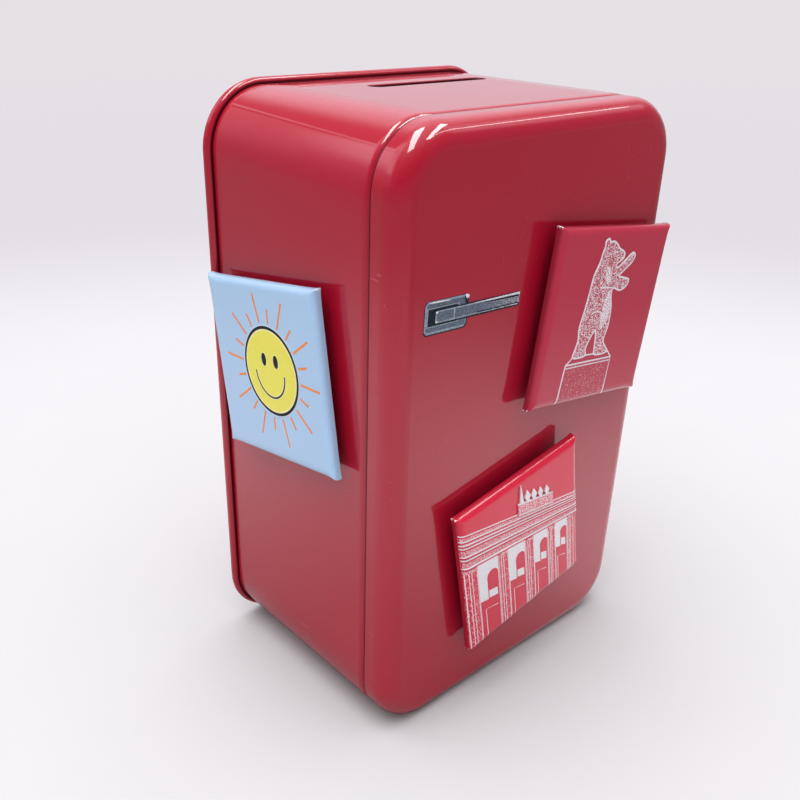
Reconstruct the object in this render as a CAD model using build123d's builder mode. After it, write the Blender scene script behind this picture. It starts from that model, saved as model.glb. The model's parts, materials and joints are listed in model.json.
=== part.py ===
"""Tin money box shaped like a rounded refrigerator, with a hinged door and three square magnets on it.

The frame: X to the right seen from the front, Y to the back, Z up. The origin is the middle of the flat underside
of the body. Millimetres throughout.
"""

import os

from build123d import *

os.makedirs("parts", exist_ok=True)

# ---- Driving dimensions ----
BODY_WIDTH = 90.0
BODY_HEIGHT = 147.0
BODY_DEPTH = 57.8  # from the parting plane, where body and door meet, to the back of the rolled seam
CORNER_RADIUS = 14.3  # the rounded corners of the outline, seen from the front
SHEET = 0.3  # tinplate

PARTING_Y = -BODY_DEPTH / 2
BACK_Y = BODY_DEPTH / 2

# ---- Back seam and panel ----
SEAM_DEPTH = 2.6
SEAM_PROUD = 1.5  # how far the rolled seam stands out from the wrap
SEAM_ROUND = 1.25
SEAM_INNER_ROUND = 0.6
SEAM_Y = BACK_Y - SEAM_DEPTH  # the wrap ends here, against the seam
SEAM_INSET = SHEET + 0.35
PANEL_RECESS = 2.4
PANEL_STEP = 0.6  # height of the pressed stiffening panel
PANEL_STEP_ROUND = 0.4
PANEL_STEP_INSET = 9.0

# ---- Front shoulder, and the neck that the door closes over ----
SHOULDER_RADIUS = 1.7
NECK_LENGTH = 4.0
NECK_CLEARANCE = 0.25
DOOR_INSET = 0.15  # the door's sides lie this far inside the body's sides
NECK_INSET = DOOR_INSET + SHEET + NECK_CLEARANCE
DETENT_RADIUS = 1.6
DETENT_HEIGHT = 0.15
DETENT_TAPER = 60.0
DETENT_SPACING = 70.0

# ---- Door ----
DOOR_DEPTH = 8.5  # from the parting plane to the door's flat face
DOOR_EDGE_RADIUS = 5.0
DOOR_GAP = 0.25
DOOR_RIM_ROUND = 0.12
DOOR_FACE_Y = PARTING_Y - DOOR_DEPTH

# ---- Coin slot ----
SLOT_LENGTH = 38.1  # clear, inside the turned-down edge
SLOT_WIDTH = 4.3
SLOT_X = 8.0
SLOT_Y = PARTING_Y + 39.6
SLOT_LIP = 1.4  # how deep the slot's edge is turned down
SLOT_LIP_RADIUS = 0.5

# ---- Hinges ----
HINGE_LENGTH = 14.0
HINGE_HEIGHTS = {"lower": 32.0, "upper": 115.0}
KNUCKLE_RADIUS = 1.05
PIN_RADIUS = 0.6
PIN_CLEARANCE = 0.05
PIN_HEAD_RADIUS = 0.9
PIN_HEAD_HEIGHT = 0.45
PIN_HEAD_ROUND = 0.3
HINGE_X = BODY_WIDTH / 2 + 1.3
LEAF_OUTER_X = BODY_WIDTH / 2 + 0.4
LEAF_START = 0.9  # from the hinge axis to the near edge of a leaf
BODY_LEAF_WIDTH = 6.5
DOOR_LEAF_WIDTH = 2.4
END_KNUCKLE = 4.0
KNUCKLE_GAP = 0.15

# ---- Magnets ----
MAGNET_SIZE = 42.4
MAGNET_CORNER = 2.0
MAGNET_FACE = 4.8  # from the tin to the magnet's printed face
MAGNET_UNDER = 2.3  # from the tin to the underside of the magnet's rim
MAGNET_EDGE_RADIUS = 1.7
COVER_THICKNESS = 0.15
COVER_FOLD = 1.3  # how far the cover is folded in behind the rim
FIT_GAP = 0.02
SHELL_THICKNESS = 0.3
BACK_PLATE = 0.3
BACK_PLATE_UNDER = 2.2
BACK_PLATE_PLAY = 0.2
DISC_RADIUS = 10.0
DISC_CHAMFER = 0.3
# Each magnet: the face it sits on, its middle across that face (to the right, seen from outside) and up it, and
# its turn in degrees (positive is anticlockwise, seen from outside).
MAGNETS = {
    "sun": ("left side", -0.5, 88.0, 9.4),
    "bear": ("door", 17.4, 99.2, -7.6),
    "gate": ("door", -3.5, 43.2, 11.0),
}


def facing_front(y):
    """A plane across the box at depth y, centred on the body, looking out towards the front."""
    return Plane(origin=(0, y, BODY_HEIGHT / 2), x_dir=(1, 0, 0), z_dir=(0, -1, 0))


def body_outline(inset, mode=Mode.ADD):
    """The body's rounded outline, drawn inset by that much, in the current sketch."""
    return RectangleRounded(
        BODY_WIDTH - 2 * inset, BODY_HEIGHT - 2 * inset, CORNER_RADIUS - inset, mode=mode
    )


def save(piece, name):
    """Labels a finished piece and writes it as its own STEP file."""
    piece.part.label = name
    export_step(piece.part, f"parts/{name}.step")


# ---- Body: the wrap, its shoulder and neck, and the coin slot ----
with BuildPart() as body_shell:
    with BuildSketch(facing_front(SEAM_Y)):
        body_outline(0)
    extrude(amount=SEAM_Y - PARTING_Y)
    fillet(body_shell.faces().sort_by(Axis.Y)[0].edges(), SHOULDER_RADIUS)
    with BuildSketch(facing_front(PARTING_Y + SHOULDER_RADIUS)):
        body_outline(NECK_INSET)
    extrude(amount=SHOULDER_RADIUS + NECK_LENGTH)
    # The inside follows the outside one sheet thickness in.
    with BuildSketch(facing_front(SEAM_Y)):
        body_outline(SHEET)
    extrude(amount=SEAM_Y - PARTING_Y - SHOULDER_RADIUS, mode=Mode.SUBTRACT)
    with BuildSketch(facing_front(SEAM_Y)):
        body_outline(NECK_INSET + SHEET)
    extrude(amount=SEAM_Y - PARTING_Y + NECK_LENGTH, mode=Mode.SUBTRACT)
    # Two pressed bumps on the neck, away from the hinges, steady the closed door.
    neck_side = Plane(
        origin=(-BODY_WIDTH / 2 + NECK_INSET, PARTING_Y - NECK_LENGTH / 2, BODY_HEIGHT / 2),
        x_dir=(0, -1, 0),
        z_dir=(-1, 0, 0),
    )
    with BuildSketch(neck_side):
        with GridLocations(0, DETENT_SPACING, 1, 2):
            Circle(DETENT_RADIUS)
    extrude(amount=DETENT_HEIGHT, taper=DETENT_TAPER)
    # The coin slot: its edge is turned down into the body.
    with BuildSketch(Plane.XY.offset(BODY_HEIGHT)):
        with Locations((SLOT_X, SLOT_Y)):
            SlotOverall(SLOT_LENGTH + 2 * SHEET, SLOT_WIDTH + 2 * SHEET)
    extrude(amount=-SLOT_LIP)
    with BuildSketch(Plane.XY.offset(BODY_HEIGHT)):
        with Locations((SLOT_X, SLOT_Y)):
            SlotOverall(SLOT_LENGTH, SLOT_WIDTH)
    extrude(amount=-SLOT_LIP, mode=Mode.SUBTRACT)
    top_edges = body_shell.edges().group_by(Axis.Z)[-1]
    slot_mouth = top_edges.filter_by(lambda edge: abs(edge.center().Y - SLOT_Y) < SLOT_WIDTH)
    slot_mouth = slot_mouth.filter_by(lambda edge: abs(edge.center().X - SLOT_X) < SLOT_LENGTH / 2)
    fillet(slot_mouth, SLOT_LIP_RADIUS)
save(body_shell, "body_shell")

# ---- Back panel: a rolled seam round a recessed panel with a pressed step ----
with BuildPart() as back_panel:
    with BuildSketch(facing_front(BACK_Y)):
        body_outline(-SEAM_PROUD)
        body_outline(SEAM_INSET, mode=Mode.SUBTRACT)
    extrude(amount=SEAM_DEPTH)
    seam_front = back_panel.faces().sort_by(Axis.Y)[0]
    seam_back = back_panel.faces().sort_by(Axis.Y)[-1]
    fillet(seam_front.outer_wire().edges() + seam_back.outer_wire().edges(), SEAM_ROUND)
    seam_back = back_panel.faces().sort_by(Axis.Y)[-1]
    fillet(seam_back.inner_wires()[0].edges(), SEAM_INNER_ROUND)
    with BuildSketch(facing_front(BACK_Y - PANEL_RECESS)):
        body_outline(SEAM_INSET - SHEET)
    extrude(amount=SHEET)
    with BuildSketch(facing_front(BACK_Y - PANEL_RECESS)):
        body_outline(PANEL_STEP_INSET)
    extrude(amount=-PANEL_STEP)
    step_y = BACK_Y - PANEL_RECESS + PANEL_STEP
    step_faces = back_panel.faces().filter_by_position(Axis.Y, step_y - PANEL_STEP / 2, step_y + PANEL_STEP / 2)
    fillet(step_faces.sort_by(SortBy.AREA)[-1].edges(), PANEL_STEP_ROUND)
    with BuildSketch(facing_front(BACK_Y - PANEL_RECESS - SHEET)):
        body_outline(PANEL_STEP_INSET + SHEET)
    extrude(amount=-PANEL_STEP, mode=Mode.SUBTRACT)
save(back_panel, "back_panel")

# ---- Door: a deep pressed tray, open to the back ----
with BuildPart() as door:
    with BuildSketch(facing_front(PARTING_Y - DOOR_GAP)):
        body_outline(DOOR_INSET)
    extrude(amount=DOOR_DEPTH - DOOR_GAP)
    fillet(door.faces().sort_by(Axis.Y)[0].edges(), DOOR_EDGE_RADIUS)
    offset(amount=-SHEET, openings=door.faces().sort_by(Axis.Y)[-1])
    fillet(door.faces().sort_by(Axis.Y)[-1].edges(), DOOR_RIM_ROUND)
save(door, "door")


# ---- Hinges: a butt hinge with curled knuckles and a headed wire pin, twice ----
def leaf(bottom, side_x, toward, width, knuckles):
    """One hinge leaf: a plate flat on the tin at x = side_x, on the side of the axis that toward gives (1 is to
    the back, -1 to the front), curled round the pin at each (start, length) in knuckles."""
    thickness = LEAF_OUTER_X - side_x
    middle_x = (LEAF_OUTER_X + side_x) / 2
    with BuildPart() as piece:
        with BuildSketch(Plane.XY.offset(bottom)):
            with Locations((middle_x, PARTING_Y + toward * (LEAF_START + width / 2))):
                Rectangle(thickness, width)
        extrude(amount=HINGE_LENGTH)
        for start, length in knuckles:
            with BuildSketch(Plane.XY.offset(bottom + start)):
                with Locations((middle_x, PARTING_Y + toward * LEAF_START / 2)):
                    Rectangle(thickness, LEAF_START)
                with Locations((HINGE_X, PARTING_Y)):
                    Circle(KNUCKLE_RADIUS)
                    Circle(PIN_RADIUS + PIN_CLEARANCE, mode=Mode.SUBTRACT)
            extrude(amount=length)
    return piece


def hinge_pin(bottom):
    """The wire pin of one hinge, with a formed head at each end."""
    with BuildPart() as piece:
        with BuildSketch(Plane(origin=(HINGE_X, PARTING_Y, bottom - PIN_CLEARANCE))):
            Circle(PIN_RADIUS)
        extrude(amount=HINGE_LENGTH + 2 * PIN_CLEARANCE)
        for end in (piece.faces().sort_by(Axis.Z)[0], piece.faces().sort_by(Axis.Z)[-1]):
            with BuildSketch(Plane(end)):
                Circle(PIN_HEAD_RADIUS)
            extrude(amount=PIN_HEAD_HEIGHT)
        fillet(piece.edges().sort_by(Axis.Z)[0], PIN_HEAD_ROUND)
        fillet(piece.edges().sort_by(Axis.Z)[-1], PIN_HEAD_ROUND)
    return piece


END_KNUCKLES = [(0, END_KNUCKLE), (HINGE_LENGTH - END_KNUCKLE, END_KNUCKLE)]
MIDDLE_KNUCKLE = [(END_KNUCKLE + KNUCKLE_GAP, HINGE_LENGTH - 2 * (END_KNUCKLE + KNUCKLE_GAP))]

for place, middle in HINGE_HEIGHTS.items():
    foot = middle - HINGE_LENGTH / 2
    save(leaf(foot, BODY_WIDTH / 2, 1, BODY_LEAF_WIDTH, END_KNUCKLES), f"{place}_hinge_body_leaf")
    door_side = BODY_WIDTH / 2 - DOOR_INSET
    save(leaf(foot, door_side, -1, DOOR_LEAF_WIDTH, MIDDLE_KNUCKLE), f"{place}_hinge_door_leaf")
    save(hinge_pin(foot), f"{place}_hinge_pin")


# ---- Magnets: a pressed square button with a disc magnet behind it, three times ----
def pressed_square(seat, inset, under, thickness):
    """A square skin with its front edges rounded over and its back open. It lies that inset inside the magnet's
    outer surface, and its rim stands that far out from the tin."""
    with BuildPart() as piece:
        with BuildSketch(seat.offset(under)):
            side = MAGNET_SIZE - 2 * inset
            RectangleRounded(side, side, MAGNET_CORNER - inset)
        extrude(amount=MAGNET_FACE - inset - under)
        outward = Axis(seat.origin, seat.z_dir)
        fillet(piece.faces().sort_by(outward)[-1].edges(), MAGNET_EDGE_RADIUS - inset)
        offset(amount=-thickness, openings=piece.faces().sort_by(outward)[0])
    return piece


def magnet_cover(seat):
    """The printed paper and clear film, wrapped over the front and folded in behind the rim."""
    with BuildPart() as piece:
        add(pressed_square(seat, 0, MAGNET_UNDER, COVER_THICKNESS).part)
        with BuildSketch(seat.offset(MAGNET_UNDER)):
            RectangleRounded(MAGNET_SIZE, MAGNET_SIZE, MAGNET_CORNER)
            inner = MAGNET_SIZE - 2 * COVER_FOLD
            RectangleRounded(inner, inner, MAGNET_CORNER, mode=Mode.SUBTRACT)
        extrude(amount=COVER_THICKNESS)
    return piece


def magnet_back(seat):
    """The plate that closes the back of the button, inside the folded rim."""
    with BuildPart() as piece:
        with BuildSketch(seat.offset(BACK_PLATE_UNDER)):
            side = MAGNET_SIZE - 2 * COVER_FOLD - BACK_PLATE_PLAY
            RectangleRounded(side, side, MAGNET_CORNER)
        extrude(amount=BACK_PLATE)
    return piece


def magnet_disc(seat):
    """The round magnet glued under the back plate."""
    with BuildPart() as piece:
        with BuildSketch(seat.offset(FIT_GAP)):
            Circle(DISC_RADIUS)
        extrude(amount=BACK_PLATE_UNDER - FIT_GAP)
        chamfer(piece.edges(), DISC_CHAMFER)
    return piece


left_side = Plane(origin=(-BODY_WIDTH / 2, 0, 0), x_dir=(0, -1, 0), z_dir=(-1, 0, 0))
door_face = Plane(origin=(0, DOOR_FACE_Y, 0), x_dir=(1, 0, 0), z_dir=(0, -1, 0))
COVER_LAYER = COVER_THICKNESS + FIT_GAP

for picture, (tin, across, up, tilt) in MAGNETS.items():
    face_plane = left_side if tin == "left side" else door_face
    seat_plane = Plane(face_plane.location * Location((across, up, 0), (0, 0, tilt)))
    save(magnet_cover(seat_plane), f"{picture}_magnet_cover")
    shell = pressed_square(seat_plane, COVER_LAYER, MAGNET_UNDER + COVER_LAYER, SHELL_THICKNESS)
    save(shell, f"{picture}_magnet_shell")
    save(magnet_back(seat_plane), f"{picture}_magnet_back")
    save(magnet_disc(seat_plane), f"{picture}_magnet_disc")
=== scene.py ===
"""The looks of a tin money box: red lacquer and bare tinplate on the pressed parts, steel hinges, three
pressed magnets with printed pictures, a handle printed on the door, a pale studio and the camera.

Metres, in the CAD frame: X to the right seen from the front, Y to the back, Z up. Flat pictures are drawn in
millimetres, x to the right and y up, and then laid on the tin or on a magnet.
"""
import json
import math

import bmesh
import bpy
from mathutils import Matrix, Quaternion, Vector


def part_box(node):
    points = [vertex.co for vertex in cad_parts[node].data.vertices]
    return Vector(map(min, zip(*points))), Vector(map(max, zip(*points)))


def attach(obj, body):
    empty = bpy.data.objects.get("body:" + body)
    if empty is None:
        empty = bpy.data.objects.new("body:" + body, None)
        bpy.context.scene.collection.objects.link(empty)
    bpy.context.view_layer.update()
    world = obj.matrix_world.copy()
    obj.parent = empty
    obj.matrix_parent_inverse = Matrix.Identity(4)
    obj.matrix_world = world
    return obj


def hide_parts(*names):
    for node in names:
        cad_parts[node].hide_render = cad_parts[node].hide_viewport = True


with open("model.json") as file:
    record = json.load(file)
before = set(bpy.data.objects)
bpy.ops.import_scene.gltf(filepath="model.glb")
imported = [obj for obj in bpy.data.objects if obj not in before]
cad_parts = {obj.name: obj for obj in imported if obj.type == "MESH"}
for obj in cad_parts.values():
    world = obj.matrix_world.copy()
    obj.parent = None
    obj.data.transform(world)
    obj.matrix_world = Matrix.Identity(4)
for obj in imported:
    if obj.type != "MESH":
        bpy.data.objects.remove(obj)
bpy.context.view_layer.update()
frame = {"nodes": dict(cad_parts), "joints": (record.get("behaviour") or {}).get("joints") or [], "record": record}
MM = 0.001

# ---- Sizes read from the frame ----
SHELL_LOW, SHELL_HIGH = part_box("body_shell")
DOOR_LOW, DOOR_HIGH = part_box("door")
CAVITY = Vector((0, 0, (SHELL_LOW.z + SHELL_HIGH.z) / 2))  # a point inside the box, level with its middle
DOOR_FACE_Y = DOOR_LOW.y
CORNER_RADIUS = 14.3 * MM  # the body's outline, seen from the front
CORE = Vector((  # half the width and height between the middles of the rounded corners, endless in depth
    (SHELL_HIGH.x - SHELL_LOW.x) / 2 - CORNER_RADIUS, 1.0, (SHELL_HIGH.z - SHELL_LOW.z) / 2 - CORNER_RADIUS
))
SLOT_LOW, SLOT_HIGH = next(
    [Vector(corner) for corner in opening["box_m"]]
    for opening in frame["record"]["physics"]["openings"] if opening["name"] == "coin_slot"
)
SLOT_MIDDLE = (SLOT_LOW + SLOT_HIGH) / 2
SEAM_FRONT_Y = SHELL_HIGH.y  # the rolled seam's front edge
PARTING_Y = DOOR_HIGH.y  # the gap between the body's shoulder and the door
EASE = 4 * MM  # the flats begin to turn this far before a corner of the body
SLOT_EDGE = Vector((4.3, 0.2, 2.0)) * MM  # from the clear opening to the walls of its turned-down edge
SLOT_REACH = (SLOT_HIGH - SLOT_LOW) / 2 + SLOT_EDGE

# ---- Magnets: the turn of each on its face (anticlockwise, seen from outside), as in the CAD ----
MAGNET_TURN = {"sun": 9.4, "bear": -7.6, "gate": 11.0}
CORNER = 2.0 * MM
EDGE_ROLL = 1.7 * MM  # how far the printed face drops as it rolls over into the rim
ROLL_REACH = 2.4 * MM  # how far inside the outline the roll begins
ROLL_POWER = 2.7  # above 2 it begins more gently than a round one
SHEET = 0.15 * MM
FOLD = 1.3 * MM  # how far the paper is folded in behind the rim
FOLD_ROUND = 0.35 * MM
FOLD_STEPS = 4
ROLL_STEPS = 12
SIDE_STEPS = 14
BEND_STEPS = 8  # round each corner
EAR_REACH = 1.028  # the folded corners are drawn out to points
EAR_SPREAD = 1.35 * MM  # how far from its point an ear fades
PLEAT = 0.4 * MM  # the folded corners are finely pleated
PLEAT_DEPTH = 0.06 * MM
INK = 0.02 * MM  # each layer of ink lies this far above the last

# ---- Colours, as light reflected (linear) ----
RED = (0.39, 0.005, 0.023)
DEEP_RED = (0.36, 0.004, 0.020)
# Painted shade: the deep red put in the groove before the seam, in the door's gap and on the coin slot's walls
CREVICE_SHADE_RED = (0.075, 0.001, 0.005)
WORN_RED = (0.62, 0.16, 0.20)
INNER_TIN = ((0.52, 0.50, 0.46), (0.70, 0.68, 0.63))  # the dark and the pale of its grain, as for those below
BARE_TIN = ((0.50, 0.49, 0.47), (0.68, 0.67, 0.64))
TARNISH = (0.40, 0.39, 0.37)
STEEL = ((0.42, 0.42, 0.43), (0.62, 0.62, 0.63))
RUBBED_STEEL = (0.74, 0.74, 0.75)
FERRITE = ((0.022, 0.022, 0.024), (0.075, 0.073, 0.072))
PALE_PAPER = (0.80, 0.79, 0.80)
SKY_BLUE = (0.385, 0.565, 0.79)
CRIMSON = (0.48, 0.020, 0.053)
GATE_RED = (0.68, 0.010, 0.045)
YELLOW = (0.86, 0.78, 0.065)
PALE_YELLOW = (0.92, 0.86, 0.42)
ORANGE = (0.86, 0.24, 0.01)
BLACK_INK = (0.012, 0.013, 0.018)
WHITE_INK = (0.84, 0.81, 0.85)
CHROME_INK = (0.12, 0.155, 0.22)
SILVER_INK = (0.42, 0.42, 0.45)
EDGE_INK = (0.31, 0.37, 0.46)
DARK_INK = (0.014, 0.020, 0.035)
HALO_INK = (0.66, 0.75, 0.86)

# ---- Surfaces ----
LACQUER_IOR = 1.52
LACQUER_WAVE = 0.10 * MM  # how far the tin under the lacquer swells and sinks
LACQUER_PEEL = 0.0006 * MM
FILM_IOR = 1.45
UNDER_GLOSS = 0.1  # specular level of what lies under lacquer or film


# ==== Materials ====
class Recipe:
    """The node tree of a material or world. Each call adds a node and returns its output, for later calls."""

    def __init__(self, name, world=None):
        """Starts a new material of that name, or works on the world when one is given."""
        self.owner = world or bpy.data.materials.new(name)
        self.owner.use_nodes = True
        self.tree = self.owner.node_tree
        self.shader = self.tree.nodes["Background" if world else "Principled BSDF"]

    def put(self, socket, value):
        """Links value to the socket when it is another node's output, and stores it when it is a number."""
        if isinstance(value, bpy.types.NodeSocket):
            self.tree.links.new(value, socket)
        elif socket.type == "RGBA" and len(value) == 3:
            socket.default_value = (*value, 1.0)
        else:
            socket.default_value = value

    def node(self, kind, inputs, output=0, **settings):
        """Adds a node with these inputs and settings, and returns one of its outputs."""
        made = self.tree.nodes.new(kind)
        for key, value in settings.items():
            setattr(made, key, value)
        for key, value in inputs.items():
            self.put(made.inputs[key], value)
        return made.outputs[output]

    def place(self, output="Object"):
        """Object coordinates, or the object-space normal: both travel with the piece."""
        return self.node("ShaderNodeTexCoord", {}, output)

    def noise(self, size, detail=2.0, stretch=(1, 1, 1), shift=0.0):
        """Noise whose features are about size metres across, stretched along the axes."""
        scale = tuple(1 / (size * s) for s in stretch)
        vector = self.node(
            "ShaderNodeMapping", {"Vector": self.place(), "Scale": scale, "Location": (shift, shift, shift)}
        )
        return self.node("ShaderNodeTexNoise", {"Vector": vector, "Scale": 1.0, "Detail": detail})

    def math(self, operation, a, b=0.0):
        return self.node("ShaderNodeMath", {0: a, 1: b}, operation=operation)

    def ramp(self, value, low, high, to_low=0.0, to_high=1.0):
        """A smooth step from to_low to to_high as value goes from low to high."""
        inputs = {"Value": value, "From Min": low, "From Max": high, "To Min": to_low, "To Max": to_high}
        return self.node("ShaderNodeMapRange", inputs, interpolation_type="SMOOTHSTEP")

    def mix(self, amount, a, b):
        """A colour between a and b."""
        return self.node("ShaderNodeMix", {0: amount, 6: a, 7: b}, 2, data_type="RGBA")

    def vector(self, operation, a, b=(0, 0, 0), output="Vector"):
        return self.node("ShaderNodeVectorMath", {0: a, 1: b}, output, operation=operation)

    def axis(self, vector, which):
        return self.node("ShaderNodeSeparateXYZ", {0: vector}, "XYZ".index(which))

    def tint(self, brightness, colour):
        """The colour, brightened or dimmed by a number."""
        return self.node("ShaderNodeVectorMath", {0: colour, "Scale": brightness}, operation="SCALE")

    def bump(self, height, depth, below=None):
        """Pushes the surface by up to depth metres where height is 1, on top of the bump below."""
        inputs = {"Height": height, "Distance": depth, "Strength": 1.0}
        if below is not None:
            inputs["Normal"] = below
        return self.node("ShaderNodeBump", inputs)

    def finish(self, **inputs):
        """Sets the shader's inputs, with _ standing for a space in their names."""
        for key, value in inputs.items():
            self.put(self.shader.inputs[key.replace("_", " ")], value)
        return self.owner


def out_from_core(recipe):
    """(vector, length) from the nearest point of the core. The length is CORNER_RADIUS on the body's skin."""
    offset = recipe.vector("SUBTRACT", recipe.place(), CAVITY)
    beyond = recipe.vector("SUBTRACT", recipe.vector("ABSOLUTE", offset), CORE)
    beyond = recipe.vector("MAXIMUM", beyond, (0, 0, 0))
    outward = recipe.vector("MULTIPLY", beyond, recipe.vector("SIGN", offset))
    return outward, recipe.math("MAXIMUM", recipe.vector("LENGTH", outward, output="Value"), 0.01 * MM)


def past_slot(recipe):
    """How far a point lies beyond the walls of the coin slot's turned-down edge, along each axis."""
    from_slot = recipe.vector("ABSOLUTE", recipe.vector("SUBTRACT", recipe.place(), SLOT_MIDDLE))
    return recipe.vector("SUBTRACT", from_slot, SLOT_REACH)


def inside_mask(recipe, opens):
    """1 on the inner faces of a pressed shell, and 0 on its outer ones, its seam and the coin slot's edge.

    The shell is open towards -Y when opens is -1, and towards +Y when opens is 1.
    """
    normal = recipe.place("Normal")
    outward, reach = out_from_core(recipe)
    wall = recipe.math("DIVIDE", recipe.vector("DOT_PRODUCT", outward, normal, output="Value"), reach)
    facing = recipe.math("SUBTRACT", wall, recipe.math("MULTIPLY", recipe.axis(normal, "Y"), opens))
    inner = recipe.ramp(facing, -0.12, 0.12, 1.0, 0.0)
    within = recipe.ramp(reach, CORNER_RADIUS - 0.06 * MM, CORNER_RADIUS - 0.02 * MM, 1.0, 0.0)
    past = past_slot(recipe)
    clear = recipe.math("MAXIMUM", recipe.axis(past, "X"), recipe.axis(past, "Y"))
    clear = recipe.math("MAXIMUM", clear, recipe.axis(past, "Z"))
    off_slot = recipe.ramp(clear, 0.0, 0.05 * MM)
    return recipe.math("MULTIPLY", inner, recipe.math("MULTIPLY", within, off_slot))


def crevice_shade_mask(recipe):
    """1 where shade is painted into the lacquer: in the groove before the rolled seam, in the gap round the door,
    and down in the coin slot.
    """
    place = recipe.place()
    y = recipe.axis(place, "Y")
    from_seam = recipe.math("ABSOLUTE", recipe.math("SUBTRACT", y, SEAM_FRONT_Y))
    from_parting = recipe.math("ABSOLUTE", recipe.math("SUBTRACT", y, PARTING_Y))
    reach = out_from_core(recipe)[1]
    above_foot = recipe.ramp(reach, CORNER_RADIUS + 0.35 * MM, CORNER_RADIUS + 0.8 * MM)
    under_skin = recipe.ramp(reach, CORNER_RADIUS - 0.3 * MM, CORNER_RADIUS - 0.1 * MM, 1.0, 0.0)
    foot = recipe.math("SUBTRACT", 1.0, recipe.math("MAXIMUM", above_foot, under_skin))
    seam = recipe.math("MULTIPLY", recipe.ramp(from_seam, 0.25 * MM, 0.5 * MM, 1.0, 0.0), foot)
    parting = recipe.ramp(from_parting, 0.3 * MM, 0.5 * MM, 1.0, 0.0)
    past = past_slot(recipe)
    beside = recipe.math("MAXIMUM", recipe.axis(past, "X"), recipe.axis(past, "Y"))
    down = recipe.ramp(recipe.axis(place, "Z"), SHELL_HIGH.z - 0.12 * MM, SHELL_HIGH.z - 0.04 * MM, 1.0, 0.0)
    slot = recipe.math("MULTIPLY", recipe.ramp(beside, 0.0, 0.05 * MM, 1.0, 0.0), down)
    return recipe.math("MAXIMUM", recipe.math("MAXIMUM", seam, parting), slot)


def eased_corners(recipe):
    """A bump that eases the body's flats into its rounded corners."""
    offset = recipe.vector("ABSOLUTE", recipe.vector("SUBTRACT", recipe.place(), CAVITY))
    across = recipe.ramp(recipe.axis(offset, "X"), CORE.x - EASE, CORE.x + EASE, 1.0, 0.0)
    along = recipe.ramp(recipe.axis(offset, "Z"), CORE.z - EASE, CORE.z + EASE, 1.0, 0.0)
    return recipe.bump(recipe.math("ADD", across, along), EASE**2 / (3 * CORNER_RADIUS))


def specks(recipe, size, share):
    """Sparse round specks about size metres across, on roughly that share of the surface."""
    vector = recipe.node("ShaderNodeVectorMath", {0: recipe.place(), "Scale": 1 / size}, operation="SCALE")
    distance = recipe.node("ShaderNodeTexVoronoi", {"Vector": vector, "Scale": 0.16}, "Distance")
    rare = recipe.ramp(recipe.noise(size * 14, 0.0), 0.72 - share, 0.78 - share)
    dot = recipe.ramp(distance, 0.03, 0.09, 1.0, 0.0)
    return recipe.math("MULTIPLY", dot, rare)


def scratches(recipe, stretch, amount):
    """Hairline scratches that run along the stretched axis."""
    line = recipe.noise(0.25 * MM, 1.0, stretch)
    thin = recipe.ramp(line, 0.735, 0.775)
    patch = recipe.ramp(recipe.noise(26 * MM, 1.0, shift=7.0), 0.5, 0.62)
    return recipe.math("MULTIPLY", recipe.math("MULTIPLY", thin, patch), amount)


def film_over(recipe, wave, peel, below=None):
    """The bump of lacquer or film: slow waves of the sheet beneath, and a fine orange peel."""
    waves = recipe.bump(recipe.noise(34 * MM, 1.0), wave, below)
    return recipe.bump(recipe.noise(0.9 * MM, 2.0), peel, waves)


def lacquer_smear(recipe):
    """The lacquer's roughness: clean in places, and smeared by hands in others."""
    return recipe.ramp(recipe.noise(22 * MM, 3.0, shift=3.0), 0.35, 0.75, 0.015, 0.05)


def lacquered_tin(name, opens, print_shift=0.0, eased=False):
    """Printed red lacquer on the outside of a pressed shell, and bare tinplate on its inside."""
    recipe = Recipe(name)
    inside = inside_mask(recipe, opens)
    crevice_shade = crevice_shade_mask(recipe)
    colour = recipe.mix(recipe.noise(45 * MM, 3.0, shift=print_shift), DEEP_RED, RED)
    dust = specks(recipe, 0.32 * MM, 0.04)
    marks = scratches(recipe, (1, 40, 6), 0.35)
    worn = recipe.math("MAXIMUM", recipe.math("MULTIPLY", dust, 0.35), marks)
    # Painted shade: the groove before the seam, the door's gap and the slot's walls are darkened to a deep red
    outside = recipe.mix(crevice_shade, recipe.mix(worn, colour, WORN_RED), CREVICE_SHADE_RED)
    grain = recipe.noise(0.35 * MM, 2.0, (30, 1, 1))
    dulled_inside = recipe.ramp(inside, 0.0, 1.0, 1.0, 0.1)
    # Painted shade also thins the coat in those crevices, so they mirror little
    dulled_crevice_shade = recipe.ramp(crevice_shade, 0.0, 1.0, 1.0, 0.15)
    film = film_over(recipe, LACQUER_WAVE, LACQUER_PEEL, eased_corners(recipe) if eased else None)
    return recipe.finish(
        Base_Color=recipe.mix(inside, outside, recipe.mix(grain, *INNER_TIN)),
        Metallic=inside,
        Roughness=recipe.ramp(grain, 0.3, 0.7, 0.34, 0.44),
        Specular_IOR_Level=UNDER_GLOSS,
        Coat_Weight=recipe.math("MULTIPLY", dulled_inside, dulled_crevice_shade),
        Coat_Roughness=lacquer_smear(recipe),
        Coat_IOR=LACQUER_IOR,
        Normal=film,
        Coat_Normal=film,
    )


def bare_tinplate(name, brightness=1.0):
    """Rolled tinplate with a faint grain, dulled in patches. A brightness below 1 dims it all, as painted shade.
    """
    recipe = Recipe(name)
    grain = recipe.noise(0.3 * MM, 2.0, (1, 1, 25))
    dull = recipe.noise(9 * MM, 3.0)
    tin = recipe.mix(recipe.ramp(dull, 0.5, 0.7), recipe.mix(grain, *BARE_TIN), TARNISH)
    return recipe.finish(
        Base_Color=recipe.tint(brightness, tin),
        Metallic=1.0,
        Roughness=recipe.ramp(dull, 0.3, 0.7, 0.24, 0.42),
        Normal=recipe.bump(grain, 0.002 * MM),
    )


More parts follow.
